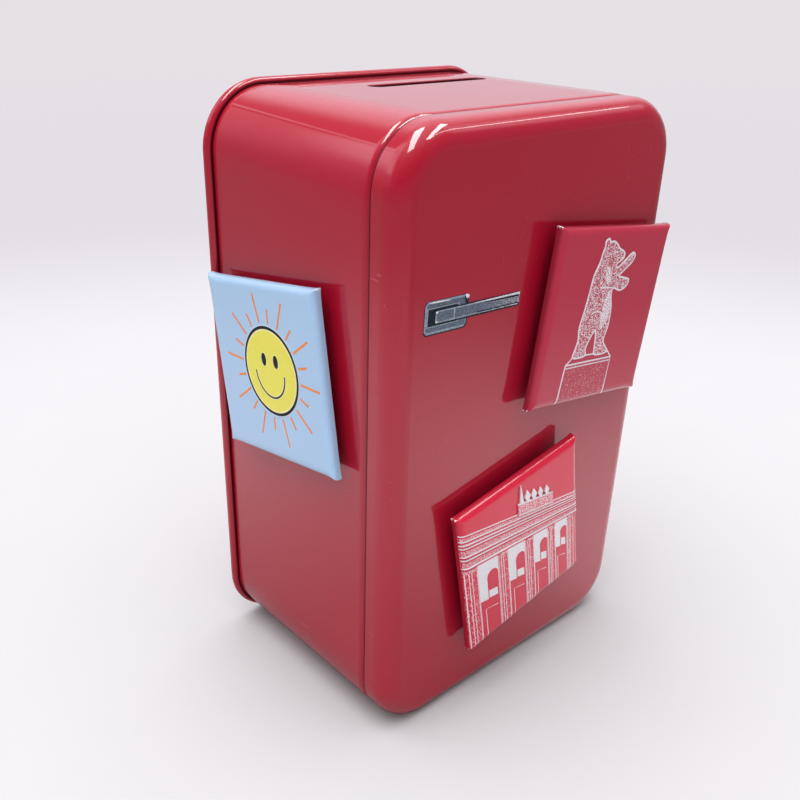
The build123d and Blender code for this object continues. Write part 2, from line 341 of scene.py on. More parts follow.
def hinge_steel(name):
    """Plated steel with drawn lines along the hinge and brighter rubbed spots."""
    recipe = Recipe(name)
    lines = recipe.noise(0.12 * MM, 2.0, (1, 1, 30))
    rubbed = recipe.ramp(recipe.noise(1.6 * MM, 2.0), 0.52, 0.68)
    return recipe.finish(
        Base_Color=recipe.mix(rubbed, recipe.mix(lines, *STEEL), RUBBED_STEEL),
        Metallic=1.0,
        Roughness=recipe.ramp(lines, 0.3, 0.7, 0.22, 0.38),
        Normal=recipe.bump(lines, 0.004 * MM),
    )


def ferrite(name):
    """Pressed and sintered ferrite: dark grey, grainy and a little chalky."""
    recipe = Recipe(name)
    grain = recipe.noise(0.14 * MM, 4.0)
    return recipe.finish(
        Base_Color=recipe.mix(grain, *FERRITE),
        Roughness=recipe.ramp(grain, 0.3, 0.7, 0.5, 0.72),
        Normal=recipe.bump(grain, 0.02 * MM),
    )


def magnet_film(recipe, colour, gloss=1.0):
    """Finishes a printed paper of that colour under clear film: a cover's own, or an ink's on it."""
    mottle = recipe.ramp(recipe.noise(0.3 * MM, 2.0), 0.3, 0.7, 0.94, 1.0)
    ripple = recipe.bump(recipe.noise(7 * MM, 1.0), 0.05 * MM)
    fibre = recipe.bump(recipe.noise(0.6 * MM, 2.0), 0.004 * MM, ripple)
    return recipe.finish(
        Base_Color=recipe.tint(mottle, colour),
        Roughness=0.55,
        Specular_IOR_Level=UNDER_GLOSS * gloss,
        Coat_Weight=gloss,
        Coat_Roughness=recipe.ramp(recipe.noise(6 * MM, 2.0), 0.35, 0.7, 0.08, 0.17),
        Coat_IOR=FILM_IOR,
        Normal=fibre,
        Coat_Normal=fibre,
    )


def cover_paper(name, colour, painted_rim_shade):
    """Printed paper with painted shade down its rim, that shows white where the folded corners are rubbed through.
    """
    recipe = Recipe(name)
    tip = recipe.node("ShaderNodeAttribute", {}, "Fac", attribute_name="tip")
    rim = recipe.node("ShaderNodeAttribute", {}, "Fac", attribute_name="rim")
    ragged = recipe.math("ADD", tip, recipe.ramp(recipe.noise(0.5 * MM, 3.0), 0.3, 0.7, -0.2, 0.2))
    # Painted shade: the print darkens down the rim, to the given share of its brightness at the rim's foot
    printed = recipe.tint(recipe.ramp(rim, 0.0, 1.0, 1.0, painted_rim_shade), colour)
    paper = recipe.mix(recipe.ramp(ragged, 0.62, 0.76), printed, PALE_PAPER)
    return magnet_film(recipe, paper)


def film_ink(name, colour, gloss=1.0):
    """A plain ink under a magnet's film, slightly uneven."""
    recipe = Recipe(name)
    weak = tuple(0.88 * c for c in colour)
    return magnet_film(recipe, recipe.mix(recipe.noise(0.5 * MM, 3.0), weak, colour), gloss)


def stippled_ink(name, ground, ink, share, size=0.42 * MM, stretch=(1, 1, 1)):
    """Ink stippled over its ground in flecks of that size. A larger share inks more of the area."""
    recipe = Recipe(name)
    flecks = recipe.noise(size, 3.0, stretch)
    inked = recipe.ramp(flecks, 0.56 - 0.22 * share, 0.64 - 0.22 * share)
    return magnet_film(recipe, recipe.mix(inked, ground, ink))


def door_ink(name, colour, other=None, gloss=1.0):
    """Finely hatched ink under the door's lacquer. It shades from colour to other along the handle."""
    recipe = Recipe(name)
    along = recipe.ramp(recipe.axis(recipe.place(), "X"), -22 * MM, -9 * MM)
    shaded = recipe.mix(along, colour, other or colour)
    hatch = recipe.ramp(recipe.noise(0.22 * MM, 2.0, (3, 1, 1)), 0.35, 0.65)
    dark = tuple(0.55 * c for c in colour)
    film = film_over(recipe, LACQUER_WAVE, LACQUER_PEEL)
    return recipe.finish(
        Base_Color=recipe.mix(hatch, dark, shaded),
        Roughness=0.4,
        Specular_IOR_Level=UNDER_GLOSS * gloss,
        Coat_Weight=gloss,
        Coat_Roughness=lacquer_smear(recipe),
        Coat_IOR=LACQUER_IOR,
        Normal=film,
        Coat_Normal=film,
    )


def dress(node, material):
    """Gives every material slot of a CAD node this material."""
    for slot in frame["nodes"][node].material_slots:
        slot.link = "OBJECT"
        slot.material = material


lacquer_body = lacquered_tin("lacquer_body", 1, eased=True)
lacquer_back = lacquered_tin("lacquer_back", -1, 2.0)
lacquer_door = lacquered_tin("lacquer_door", 1, 5.0)
tin = bare_tinplate("tinplate")
# Painted shade: the magnets' back plates sit in shadow, so their tin is dimmed to a quarter
shaded_back_tin = bare_tinplate("shaded_back_tinplate", 0.25)
steel = hinge_steel("hinge_steel")
dark_ferrite = ferrite("ferrite")

dress("body_shell", lacquer_body)
dress("back_panel", lacquer_back)
dress("door", lacquer_door)
for picture in MAGNET_TURN:
    dress(f"{picture}_magnet_shell", tin)
    dress(f"{picture}_magnet_back", shaded_back_tin)
    dress(f"{picture}_magnet_disc", dark_ferrite)
for place in ("upper", "lower"):
    for piece in ("body_leaf", "door_leaf", "pin"):
        dress(f"{place}_hinge_{piece}", steel)


# ==== Flat drawing, in millimetres ====
def arc(middle, radius, start, end, steps=24, squash=1.0):
    """Points along an arc, from start to end degrees, squashed sideways for an oval."""
    points = []
    for i in range(steps + 1):
        angle = math.radians(start + (end - start) * i / steps)
        points.append((middle[0] + squash * radius * math.cos(angle), middle[1] + radius * math.sin(angle)))
    return points


def circle(middle, radius, squash=1.0, steps=64):
    return arc(middle, radius, 0, 360 * (1 - 1 / steps), steps - 1, squash)


def smooth_loop(points, steps=6):
    """A closed curve through the points (Catmull-Rom)."""
    loop = []
    count = len(points)
    for i in range(count):
        before, here, after, beyond = (points[(i + k) % count] for k in (-1, 0, 1, 2))
        for step in range(steps):
            t = step / steps
            weights = (
                -t / 2 + t * t - t**3 / 2,
                1 - 5 * t * t / 2 + 3 * t**3 / 2,
                t / 2 + 2 * t * t - 3 * t**3 / 2,
                t**3 / 2 - t * t / 2,
            )
            loop.append(tuple(
                sum(w * p[axis] for w, p in zip(weights, (before, here, after, beyond))) for axis in (0, 1)
            ))
    return loop


def grown(loop, amount):
    """The closed loop moved outwards by amount (inwards if negative)."""
    area = sum(a[0] * b[1] - b[0] * a[1] for a, b in zip(loop, loop[1:] + loop[:1]))
    side = amount if area > 0 else -amount
    moved = []
    for i, (x, y) in enumerate(loop):
        before, after = loop[i - 1], loop[(i + 1) % len(loop)]
        along = Vector((after[0] - before[0], after[1] - before[1])).normalized()
        moved.append((x + along.y * side, y - along.x * side))
    return moved


def box(left, bottom, right, top, cut=0.0):
    """A rectangle with its corners cut off."""
    corners = []
    for x, y, across, up in (
        (left, bottom, 1, 1), (right, bottom, -1, 1), (right, top, -1, -1), (left, top, 1, -1)
    ):
        ends = [(x, y + up * cut), (x + across * cut, y)]
        corners += ends if across == up else ends[::-1]
    return corners if cut else corners[::2]


def ribbon(points, width, end_width=None):
    """The outline of a line of that width drawn through the points, with square ends."""
    end_width = width if end_width is None else end_width
    left, right = [], []
    for i, (x, y) in enumerate(points):
        before, after = points[max(i - 1, 0)], points[min(i + 1, len(points) - 1)]
        along = Vector((after[0] - before[0], after[1] - before[1])).normalized()
        half = (width + (end_width - width) * i / (len(points) - 1)) / 2
        left.append((x - along.y * half, y + along.x * half))
        right.append((x + along.y * half, y - along.x * half))
    return left + right[::-1]


def flat_prism(outlines):
    """A mesh one ink layer thick that fills the outlines (in mm); an outline inside another cuts a hole."""
    curve = bpy.data.curves.new("outline", "CURVE")
    curve.dimensions = "2D"
    curve.fill_mode = "BOTH"
    curve.extrude = 0.5
    for outline in outlines:
        spline = curve.splines.new("POLY")
        spline.points.add(len(outline) - 1)
        for point, (x, y) in zip(spline.points, outline):
            point.co = (x, y, 0, 1)
        spline.use_cyclic_u = True
    drawing = bpy.data.objects.new("outline", curve)
    bpy.context.scene.collection.objects.link(drawing)
    graph = bpy.context.evaluated_depsgraph_get()
    mesh = bpy.data.meshes.new_from_object(drawing.evaluated_get(graph))
    bpy.data.objects.remove(drawing)
    bpy.data.curves.remove(curve)
    sheet = bmesh.new()
    sheet.from_mesh(mesh)
    bpy.data.meshes.remove(mesh)
    bmesh.ops.remove_doubles(sheet, verts=sheet.verts, dist=1e-4)
    return sheet


def make_piece(name, mesh_data, materials, body):
    """A new object for a finished bmesh, riding on a CAD body."""
    mesh = bpy.data.meshes.new(name)
    mesh_data.to_mesh(mesh)
    mesh_data.free()
    piece = bpy.data.objects.new(name, mesh)
    bpy.context.scene.collection.objects.link(piece)
    for material in materials:
        mesh.materials.append(material)
    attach(piece, body)
    return piece


class Picture:
    """Layers of ink on one surface. Each layer is a list of outlines and a material."""

    def __init__(self, height, to_frame, cuts=()):
        self.height = height  # the surface's height at (x, y), in metres
        self.to_frame = to_frame  # from the picture's plane to the CAD frame
        self.cuts = cuts  # (point, direction) of lines where the sheet may bend, in mm
        self.sheet = bmesh.new()
        self.materials = []
        self.depth = 0

    def layer(self, material, *outlines):
        """Prints the outlines over everything printed so far."""
        self.depth += 1
        piece = flat_prism(outlines)
        for point, direction in self.cuts:
            geometry = piece.verts[:] + piece.edges[:] + piece.faces[:]
            bmesh.ops.bisect_plane(piece, geom=geometry, plane_co=point, plane_no=direction, dist=1e-4)
        if material not in self.materials:
            self.materials.append(material)
        for vertex in piece.verts:
            x, y, side = vertex.co
            lift = INK * self.depth if side > 0 else -INK
            vertex.co = self.to_frame @ Vector((x * MM, y * MM, self.height(x, y) + lift))
        bmesh.ops.recalc_face_normals(piece, faces=piece.faces)
        for face in piece.faces:
            face.material_index = self.materials.index(material)
        mesh = bpy.data.meshes.new("layer")
        piece.to_mesh(mesh)
        piece.free()
        self.sheet.from_mesh(mesh)
        bpy.data.meshes.remove(mesh)

    def done(self, name, body, slot):
        make_piece(name, self.sheet, self.materials, body)


# ==== Magnet covers ====
def magnet_frame(picture):
    """The magnet's own axes: origin on the tin under its middle, x and y along its edges, z out."""
    low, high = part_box(f"{picture}_magnet_disc")
    middle = (low + high) / 2
    joint = next(j for j in frame["joints"] if j["name"] == f"{picture}_magnet_pull")
    out = Vector(joint["axis"])
    across = Vector((0, 0, 1)).cross(out)
    tin_at = SHELL_LOW.x if abs(out.x) > 0.5 else DOOR_FACE_Y
    origin = middle - out * (middle.dot(out) + tin_at)
    axes = Matrix((across, Vector((0, 0, 1)), out)).transposed().to_4x4()
    turn = Matrix.Rotation(math.radians(MAGNET_TURN[picture]), 4, "Z")
    return Matrix.Translation(origin) @ axes @ turn


def magnet_size(picture):
    """(half the side, height of the rim, height of the printed face) from the cover's box in the frame."""
    low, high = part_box(f"{picture}_magnet_cover")
    to_local = magnet_frame(picture).inverted()
    heights = sorted((to_local @ corner).z for corner in (low, high))
    turn = math.radians(abs(MAGNET_TURN[picture]))
    spread = math.sin(turn) + math.cos(turn)
    half = ((high.z - low.z) + 2 * CORNER * (spread - 1)) / spread / 2
    return half, heights[0], heights[1]


HALF, RIM, FACE = magnet_size("sun")  # the three magnets are the same size


def roll_drop(inset):
    """How far the printed face has rolled down at that distance inside the outline."""
    run = min(max(1 - inset / ROLL_REACH, 0.0), 1.0)
    return EDGE_ROLL * (1 - (1 - run**ROLL_POWER) ** (1 / ROLL_POWER))


def face_height(x, y):
    """The printed face's height over the tin at a point of the picture (in mm)."""
    inset = min(HALF - abs(x) * MM, HALF - abs(y) * MM)
    return FACE - roll_drop(inset)


def cover_ring(inset):
    """Points round the cover at that distance inside its outline, which is nearly square."""
    rolled = min(inset, EDGE_ROLL)
    straight = HALF - CORNER
    radius = CORNER - rolled
    shrink = (HALF - inset) / (HALF - rolled)
    points = []
    for quarter in range(4):
        turn = Matrix.Rotation(quarter * math.pi / 2, 2)
        side = [(straight + radius, straight * (2 * i / SIDE_STEPS - 1)) for i in range(SIDE_STEPS)]
        for i in range(BEND_STEPS):
            angle = i / BEND_STEPS * math.pi / 2
            side.append((straight + radius * math.cos(angle), straight + radius * math.sin(angle)))
        points += [turn @ Vector(point) * shrink for point in side]
    return points


def magnet_cover(picture, colour, painted_rim_shade):
    """The printed paper and film: folded in behind, up the rim, and over the face, with pointed corners."""
    to_frame = magnet_frame(picture)
    corners = [Vector((math.copysign(HALF, x), math.copysign(HALF, y))) for x, y in cover_ring(0.0)]
    ears = [math.exp(-(((p - c).length / EAR_SPREAD) ** 2)) for p, c in zip(cover_ring(0.0), corners)]
    profile = [(FOLD, RIM)]
    for i in range(FOLD_STEPS + 1):
        angle = math.pi / 2 * (1 - i / FOLD_STEPS)
        profile.append((FOLD_ROUND * (1 - math.cos(angle)), RIM + FOLD_ROUND * (1 - math.sin(angle))))
    for i in range(ROLL_STEPS + 1):
        inset = ROLL_REACH * (i / ROLL_STEPS) ** 2
        profile.append((inset, FACE - roll_drop(inset)))
    profile += [(inset * MM, FACE) for inset in (2.6, 3.0, 4.5, 8.0, 14.0)]  # across the flat
    shell = bmesh.new()
    tip_layer = shell.verts.layers.float.new("tip")
    rim_layer = shell.verts.layers.float.new("rim")
    rings = []
    for inset, height in profile:
        ring = []
        fade = max(0.0, 1 - inset / EDGE_ROLL)
        for point, corner, ear in zip(cover_ring(inset), corners, ears):
            place = point + (corner * EAR_REACH - point) * ear * fade
            pleat = math.sin((point - corner).length / PLEAT) * ear**0.5 * fade
            vertex = shell.verts.new((place.x, place.y, height - PLEAT_DEPTH * pleat))
            vertex[tip_layer] = ear * fade
            # How far down the rim the point lies; the paper's painted shade follows it
            vertex[rim_layer] = min((FACE - height) / EDGE_ROLL, 1.0)
            ring.append(vertex)
        rings.append(ring)
    for inner, outer in zip(rings, rings[1:]):
        for i in range(len(inner)):
            k = (i + 1) % len(inner)
            shell.faces.new((inner[i], inner[k], outer[k], outer[i]))
    shell.faces.new(rings[-1])
    bmesh.ops.transform(shell, matrix=to_frame, verts=shell.verts)
    bmesh.ops.recalc_face_normals(shell, faces=shell.faces)
    for face in shell.faces:
        face.smooth = True
    paper = cover_paper(f"{picture}_paper", colour, painted_rim_shade)
    cover = make_piece(f"{picture}_printed_cover", shell, [paper], f"{picture}_magnet")
    thickness = cover.modifiers.new("paper", "SOLIDIFY")
    thickness.thickness = SHEET
    thickness.offset = -1
    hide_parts(f"{picture}_magnet_cover")


# The last number is the share of the print's brightness left at the foot of each rim, under painted shade
magnet_cover("sun", SKY_BLUE, 0.9)
magnet_cover("bear", CRIMSON, 0.65)
magnet_cover("gate", GATE_RED, 0.65)

ROLL_CUTS = []  # the prints bend along these lines where the face rolls over
for inset in (0.1, 0.35, 0.7, 1.1, 1.6, 2.2):
    for direction in ((1, 0, 0), (-1, 0, 0), (0, 1, 0), (0, -1, 0)):
        ROLL_CUTS.append((Vector(direction) * (HALF / MM - inset), direction))


def magnet_picture(picture):
    return Picture(face_height, magnet_frame(picture), ROLL_CUTS)


# ==== The sun's picture ====
SUN_MIDDLE = (1.95, 0.75)
SUN_RADIUS = 10.6
SUN_LINE = 0.72  # the black line round it
HALO_WIDTH = 0.22
PALE_WIDTH = 0.35  # the paler yellow inside the line
RAYS = 20
RAY_START = 11.35
RAY_ENDS = (18.1, 14.6)  # long and short rays take turns
RAY_TURN = 102  # where the first ray points, in degrees
RAY_WIDTH = 0.56
EYES = ((-2.2, 2.6), (2.5, 2.6))  # from the middle of the face
EYE_HEIGHT = 1.55
SMILE_MIDDLE = (-0.3, -0.4)
SMILE_RADIUS = 5.9


def sun_picture():
    picture = magnet_picture("sun")
    halo = film_ink("halo_ink", HALO_INK)
    black = film_ink("black_ink", BLACK_INK, 0.25)
    yellow = film_ink("yellow_ink", YELLOW)
    pale_yellow = film_ink("pale_yellow_ink", PALE_YELLOW)
    orange = film_ink("orange_ink", ORANGE)
    x, y = SUN_MIDDLE
    rays = []
    for i in range(RAYS):
        angle = math.radians(RAY_TURN + 360 * i / RAYS)
        direction = (math.cos(angle), math.sin(angle))
        ends = [(x + direction[0] * r, y + direction[1] * r) for r in (RAY_START, RAY_ENDS[i % 2])]
        rays.append(ribbon(ends, RAY_WIDTH))
    picture.layer(orange, *rays)
    picture.layer(halo, circle(SUN_MIDDLE, SUN_RADIUS + HALO_WIDTH))
    picture.layer(black, circle(SUN_MIDDLE, SUN_RADIUS))
    picture.layer(pale_yellow, circle(SUN_MIDDLE, SUN_RADIUS - SUN_LINE))
    picture.layer(yellow, circle(SUN_MIDDLE, SUN_RADIUS - SUN_LINE - PALE_WIDTH))
    eyes = [(x + across, y + up) for across, up in EYES]
    smile = arc((x + SMILE_MIDDLE[0], y + SMILE_MIDDLE[1]), SMILE_RADIUS, 180, 360, 32, 0.96)
    picture.layer(pale_yellow, *[circle(eye, EYE_HEIGHT + 0.2, 0.64) for eye in eyes], ribbon(smile, 0.85))
    picture.layer(black, *[circle(eye, EYE_HEIGHT, 0.6) for eye in eyes], ribbon(smile, 0.42))
    picture.done("sun_picture", "sun_magnet", "blue_print")


sun_picture()

# ==== The bear's picture: a plain standing bear of no particular statue, on a plain plinth ====
BEAR_OUTLINE = [  # from its ear down the back, along the feet, up the front and over the head
    (-3.4, 17.9), (-4.3, 18.6), (-5.3, 18.0), (-5.2, 16.9), (-5.6, 15.4), (-6.0, 13.2), (-7.3, 10.0),
    (-7.7, 6.0), (-8.3, 1.5), (-8.9, -2.2), (-8.4, -5.2), (-8.9, -7.6), (-9.2, -9.4), (-6.6, -9.7),
    (-4.3, -9.3), (-4.7, -7.6), (-3.6, -5.0), (-2.3, -3.4), (-1.5, -5.4), (-1.1, -8.2), (-0.6, -9.5),
    (2.4, -9.7), (4.6, -9.2), (3.5, -8.0), (2.0, -6.2), (2.7, -2.6), (2.4, 1.6), (1.2, 5.2), (1.6, 6.7),
    (4.4, 6.0), (6.7, 6.9), (7.2, 8.5), (5.0, 9.1), (2.9, 9.6), (4.6, 11.0), (6.9, 12.6), (7.8, 14.2),
    (6.6, 15.0), (4.2, 13.4), (1.5, 11.6), (0.9, 12.6), (2.2, 13.2), (3.2, 14.0), (3.2, 15.0),
    (2.1, 15.7), (0.7, 16.2), (-0.5, 17.2), (-1.9, 17.9),
]
PLINTH_TOP = -11.1
PLINTH_BOTTOM = -20.7
PLINTH_LINE = 0.38
BEAR_LINE = 0.3


def bear_picture():
    picture = magnet_picture("bear")
    white = film_ink("white_ink", WHITE_INK)
    fur = stippled_ink("fur_stipple", CRIMSON, WHITE_INK, 0.3, 0.26 * MM)
    pale_fur = stippled_ink("pale_fur_stipple", CRIMSON, WHITE_INK, 0.7, 0.3 * MM)
    stone = stippled_ink("stone_stipple", CRIMSON, WHITE_INK, -0.25, 0.18 * MM)
    bear = smooth_loop(BEAR_OUTLINE)
    plinth = [(-11.3, PLINTH_TOP), (6.7, PLINTH_TOP + 0.2), (6.5, PLINTH_BOTTOM), (-12.0, PLINTH_BOTTOM)]
    slab = [(-11.3, PLINTH_TOP), (-9.0, PLINTH_TOP + 1.8), (5.0, PLINTH_TOP + 1.8), (6.7, PLINTH_TOP + 0.2)]
    picture.layer(stone, plinth)
    picture.layer(white, ribbon(plinth[2::-1], PLINTH_LINE), ribbon([plinth[0], plinth[3]], PLINTH_LINE))
    picture.layer(white, ribbon(slab, PLINTH_LINE * 0.9), ribbon([(-11.0, -11.9), (6.4, -11.7)], 0.22))
    picture.layer(white, grown(bear, 0.17))
    picture.layer(fur, grown(bear, -0.24))
    belly = smooth_loop(
        [(1.6, 3.8), (0.2, 6.4), (-0.9, 4.0), (-1.2, 0.5), (-0.6, -3.2), (1.0, -2.0), (1.9, 0.6)]
    )
    chest = smooth_loop([(-0.2, 8.9), (-1.6, 11.8), (-2.9, 11.4), (-2.6, 9.4), (-1.2, 7.9)])
    picture.layer(pale_fur, belly, chest)
    arm = [(-3.6, 7.2), (-1.4, 7.0), (1.0, 6.9)]
    haunch = arc((-3.2, -2.6), 4.0, 20, 115, 10)
    brow = [(0.2, 15.2), (-0.8, 15.5), (-1.6, 15.0)]
    picture.layer(white, *[ribbon(line, BEAR_LINE) for line in (arm, haunch, brow)])
    picture.done("bear_picture", "bear_magnet", "crimson_print")


bear_picture()

# ==== The gate's picture: a plain colonnade of no particular building, seen along its front ====
GATE_LEFT = -21.1
GATE_RIGHT = 21.1
GATE_BOTTOM = -21.0
CORNICE = (16.4, 4.3)  # its height at the left and right edges of the picture, as for each level below
SOFFIT = (5.6, -2.4)
MOULDINGS = (0.0, 0.16, 0.27, 0.36, 0.6, 0.7, 0.94)  # shares of the way down from the cornice to the soffit
FIRST_COLUMN = 4.1
FIRST_BAY = 11.2
FLUTES = (0.05, 0.3, 0.52, 0.95)  # shares of a column's width
SHRINK = 0.88  # each column and bay beside the last
ATTIC = (GATE_LEFT + 19.4, GATE_LEFT + 32.0)  # its left and right ends
ATTIC_TOP = (CORNICE[0] + 3.4, CORNICE[1] + 3.0)
URN = [(0.35, 0), (0.5, 0.7), (0.95, 1.6), (0.45, 2.5)]  # half of its outline, from the foot up
URN_HEIGHT = 3.4


def level(heights, x, lift=0.0):
    """A point at x on one of the levels."""
    share = (x - GATE_LEFT) / (GATE_RIGHT - GATE_LEFT)
    return (x, heights[0] + (heights[1] - heights[0]) * share + lift)


def band(top, bottom, left=GATE_LEFT, right=GATE_RIGHT):
    """The strip between two levels."""
    return [level(top, left), level(top, right), level(bottom, right), level(bottom, left)]


def level_line(heights, width, left=GATE_LEFT, right=GATE_RIGHT, lift=0.0):
    """A line along one of the levels, thinner at its right end."""
    return ribbon([level(heights, left, lift), level(heights, right, lift)], width, width * 0.7)


def bay_between(left, right, shrunk):
    """(opening, arches, windows) seen between two columns, drawn smaller by shrunk."""
    opening = [level(SOFFIT, left), level(SOFFIT, right), (right, GATE_BOTTOM), (left, GATE_BOTTOM)]
    pier = left + (right - left) * 0.42
    inner = right - 0.25
    middle = (pier + inner) / 2
    radius = (inner - pier) / 2
    spring = level(SOFFIT, middle, -3.4 * shrunk)[1] - radius
    arch = [(inner, GATE_BOTTOM), *arc((middle, spring), radius, 0, 180, 12), (pier, GATE_BOTTOM)]
    wall_top = spring - 6.0 * shrunk
    wall = [(left + 0.2, GATE_BOTTOM), (left + 0.2, wall_top), (pier, wall_top - 0.8), (pier, GATE_BOTTOM)]
    near, far = pier + 0.3, inner - 0.6
    sill = wall_top - 0.5
    window = [(near, sill), (far, sill - 0.8), (far, sill + 1.6), (near, sill + 2.4)]
    jamb = pier - 1.2
    doorway = ribbon([(jamb, GATE_BOTTOM), (jamb, wall_top - 3.4), (inner - 0.8, wall_top - 4.6)], 0.2)
    return opening, [arch, wall], [window, doorway]


def colonnade():
    """The outlines of the columns and of all that is seen between them, as lists by name."""
    names = ("openings", "arches", "windows", "columns", "capitals", "flutes")
    parts = {name: [] for name in names}
    left, shrunk = GATE_LEFT, 1.0
    while left < GATE_RIGHT - 1:
        right = min(left + FIRST_COLUMN * shrunk, GATE_RIGHT)
        following = left + FIRST_BAY * shrunk
        top = [level(SOFFIT, left), level(SOFFIT, right)]
        parts["columns"].append([*top, (right, GATE_BOTTOM), (left, GATE_BOTTOM)])
        parts["capitals"].append([*top, level(SOFFIT, right, -0.9), level(SOFFIT, left, -0.9)])
        for share in FLUTES:
            x = left + (right - left) * share
            parts["flutes"].append(ribbon([level(SOFFIT, x, -1.0), (x, GATE_BOTTOM)], 0.16))
        if following < GATE_RIGHT - 1:
            opening, arches, windows = bay_between(right, following, shrunk)
            parts["openings"].append(opening)
            parts["arches"] += arches
            parts["windows"] += windows
        left = following
        shrunk *= SHRINK
    return parts


def urns_and_spire():
    """A row of urns on the attic, each smaller than the last, and a spire at its left end."""
    whole = [(-x, y) for x, y in URN] + [(0, URN_HEIGHT)] + URN[::-1]
    ornaments = []
    for k in range(4):
        x = ATTIC[0] + 3.4 + 2.35 * k
        foot = level(ATTIC_TOP, x)[1]
        size = SHRINK ** (k / 2)
        ornaments.append(smooth_loop([(x + size * u, foot + size * v) for u, v in whole], 4))
    x = ATTIC[0] + 1.2
    foot = level(ATTIC_TOP, x)[1]
    return [*ornaments, [(x - 0.7, foot), (x, foot + 5.6), (x + 0.7, foot)]]


def gate_picture():
    picture = magnet_picture("gate")
    white = film_ink("gate_white_ink", WHITE_INK)
    crimson = film_ink("gate_crimson_ink", GATE_RED)
    carving = stippled_ink("carving_stipple", GATE_RED, WHITE_INK, 0.3, 0.22 * MM)
    shading = stippled_ink("column_shading", GATE_RED, WHITE_INK, -0.05, 0.16 * MM, (1, 1, 5))
    picture.layer(carving, band(CORNICE, SOFFIT))
    for share in MOULDINGS:
        heights = [high + (low - high) * share for high, low in zip(CORNICE, SOFFIT)]
        picture.layer(white, level_line(heights, 0.32))
        picture.layer(crimson, level_line(heights, 0.34, lift=-0.42))

    parts = colonnade()
    picture.layer(white, *parts["openings"])
    picture.layer(crimson, *parts["arches"])
    picture.layer(white, *parts["windows"])
    picture.layer(shading, *parts["columns"])
    picture.layer(carving, *parts["capitals"])
    picture.layer(white, *parts["flutes"])

    picture.layer(carving, band(ATTIC_TOP, CORNICE, *ATTIC))
    picture.layer(white, level_line(ATTIC_TOP, 0.3, *ATTIC), level_line(CORNICE, 0.3, *ATTIC))
    picture.layer(white, *urns_and_spire())
    picture.done("gate_picture", "gate_magnet", "crimson_print")


gate_picture()

# ==== The handle printed on the door ====
HANDLE_TURN = -2.6  # degrees: the whole print leans down to the right
HANDLE_MIDDLE = (-30.9, 108.9)  # the middle of the plate, on the door
PLATE_WIDTH = 12.3
PLATE_HEIGHT = 7.0
PLATE_CORNER = 0.7  # cut off each corner
LEVER_START = -3.2
LEVER_END = 22.3
LEVER_HEIGHT = 2.6


def handle_picture():
    lean = Matrix.Rotation(math.radians(HANDLE_TURN), 4, "Z")
    upright = Matrix((Vector((1, 0, 0)), Vector((0, 0, 1)), Vector((0, -1, 0)))).transposed().to_4x4()
    middle = Vector((HANDLE_MIDDLE[0] * MM, DOOR_FACE_Y, HANDLE_MIDDLE[1] * MM))
    picture = Picture(lambda x, y: 0.0, Matrix.Translation(middle) @ upright @ lean)
    dark = door_ink("door_dark_ink", DARK_INK, gloss=0.3)
    chrome = door_ink("door_chrome_ink", CHROME_INK, SILVER_INK)
    light = door_ink("door_light_ink", EDGE_INK, WHITE_INK)
    white = door_ink("door_white_ink", WHITE_INK)

    w, h = PLATE_WIDTH / 2, PLATE_HEIGHT / 2
    lever = LEVER_HEIGHT / 2
    # The plate and the recess in it.
    picture.layer(dark, box(-w - 0.2, -h - 0.25, w + 0.1, h + 0.12, PLATE_CORNER))
    picture.layer(light, box(-w, -h + 0.05, w - 0.25, h, PLATE_CORNER))
    picture.layer(chrome, box(-w + 0.5, -h + 0.55, w - 0.5, h - 0.45, PLATE_CORNER / 2))
    picture.layer(light, box(-w + 0.5, -1.95, 3.6, 2.1))
    picture.layer(dark, box(-w + 0.85, -1.75, 3.2, 1.9))
    # The lever, then the plate's own highlights.
    picture.layer(dark, box(LEVER_START - 0.3, -lever - 0.35, LEVER_END + 0.05, lever + 0.25))
    picture.layer(light, box(LEVER_START, -lever, LEVER_END, lever, 0.3))
    picture.layer(chrome, box(LEVER_START + 0.3, -lever + 0.35, LEVER_END - 0.15, lever - 0.3))
    picture.layer(dark, ribbon([(11.5, lever - 0.45), (LEVER_END - 0.3, lever - 0.55)], 0.15, 0.45))
    picture.layer(dark, ribbon([(9.0, -lever + 0.4), (LEVER_END - 0.1, -lever + 0.35)], 0.22))
    picture.layer(white, ribbon([(8.0, lever - 0.1), (LEVER_END, lever - 0.05)], 0.1, 0.5))
    picture.layer(white, *[circle((LEVER_START + 0.3, y), 0.26) for y in (lever - 0.3, 0.3 - lever)])
    picture.layer(light, ribbon([(2.05, -lever + 0.4), (2.15, lever - 0.3)], 0.25))
    picture.layer(dark, ribbon([(w - 1.0, h - 0.25), (w - 0.5, lever + 0.3)], 0.35))
    glint = ribbon([(-w + 1.2, h - 0.28), (0.5, h - 0.3)], 0.2)
    picture.layer(white, circle((w - 0.55, h - 0.35), 0.42, 1.2), glint)
    picture.done("door_handle_print", "door", "red_lacquer")


handle_picture()

# ==== Studio ====
FLOOR_SLOPE = 0.0275  # the rolled seam hangs below the body, and the box leans back onto it
BOX_FRONT_FOOT = -27.2 * MM  # the floor meets the box's underside here
FLOOR_REACH = 8.0
CAMERA_SIDE = Vector((-0.155, -0.158))  # on the floor, below the camera
WALL = (0.79, 0.75, 0.785)
LAMP_SIDE = (-0.11, 0.0, 0.994)  # where the tent is brightest, seen from the box
LAMP_BRIGHTNESS = 6.5
LAMP_FOCUS = 6.0
TENT_GLOW = 0.38  # the least light that comes from any side
MIRRORED_GLOW = 0.2  # the same for what the lacquer mirrors
TENT_SEAM = (0.483, -0.463, 0.743)  # square to the seam where the tent's left side meets its ceiling
CEILING = 0.6  # its height above the box
